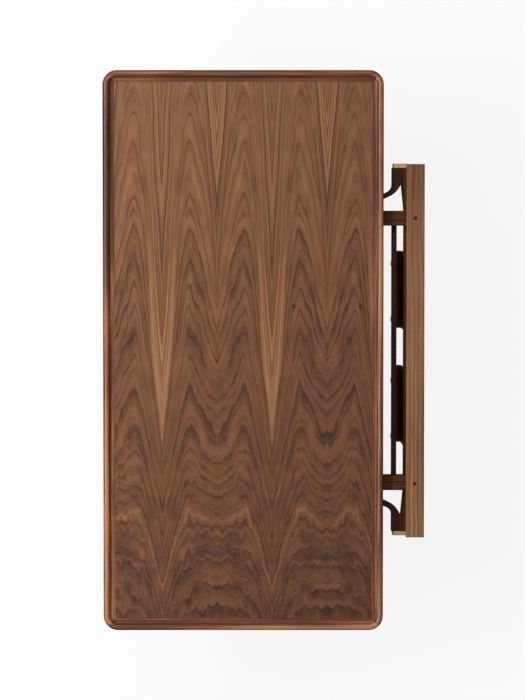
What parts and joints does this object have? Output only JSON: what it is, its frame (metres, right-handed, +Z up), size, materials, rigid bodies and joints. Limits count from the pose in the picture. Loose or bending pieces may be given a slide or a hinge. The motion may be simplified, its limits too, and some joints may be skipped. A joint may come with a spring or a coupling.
{
  "type": "album stand table",
  "caption": "Low walnut tray-topped stand on splayed legs, with a side rail and a slotted rack whose leather slings hold an album upright beside the top.",
  "frame": {"origin": "bottom centre of the whole object's box, on the floor", "axes": "+Z up, +Y along the top, +X across the top towards the rail and rack"},
  "size_m": [0.642, 1.12, 0.43],
  "materials": {
    "walnut_veneer": "satin",
    "walnut_backing": "satin",
    "walnut_solid": "satin",
    "core_board": "matte",
    "walnut_dark": "satin",
    "saddle_leather": "satin",
    "satin_brass": "satin",
    "dark_steel": "satin",
    "zinc_steel": "satin",
    "black_nylon": "matte",
    "beech": "matte"
  },
  "bodies": {
    "root": {"arm_screws": "zinc_steel", "backing_veneer": "walnut_backing", "bearer_front": "walnut_dark", "bearer_rear": "walnut_dark", "binding_posts": "satin_brass", "core_panel": "core_board", "curved_arm_front": "walnut_dark", "curved_arm_rear": "walnut_dark", "end_cap_front": "satin_brass", "end_cap_rear": "satin_brass", "end_rail_front": "walnut_dark", "end_rail_rear": "walnut_dark", "leather_strap_front": "saddle_leather", "leather_strap_rear": "saddle_leather", "leg_bolts": "zinc_steel", "leg_front_left": "walnut_dark", "leg_front_right": "walnut_dark", "leg_glides": "black_nylon", "leg_rear_left": "walnut_dark", "leg_rear_right": "walnut_dark", "lip_front": "walnut_solid", "lip_left": "walnut_solid", "lip_rear": "walnut_solid", "lip_right": "walnut_solid", "rack_block_front": "walnut_dark", "rack_block_rear": "walnut_dark", "rack_dowels": "beech", "rack_inner_bar": "walnut_dark", "rack_outer_bar": "walnut_dark", "rack_screws": "zinc_steel", "rail_screws": "dark_steel", "side_rail": "walnut_solid", "top_screws": "zinc_steel", "veneer_leaf_1": "walnut_veneer", "veneer_leaf_2": "walnut_veneer", "veneer_leaf_3": "walnut_veneer", "veneer_leaf_4": "walnut_veneer", "veneer_leaf_5": "walnut_veneer"}
  },
  "joints": []
}
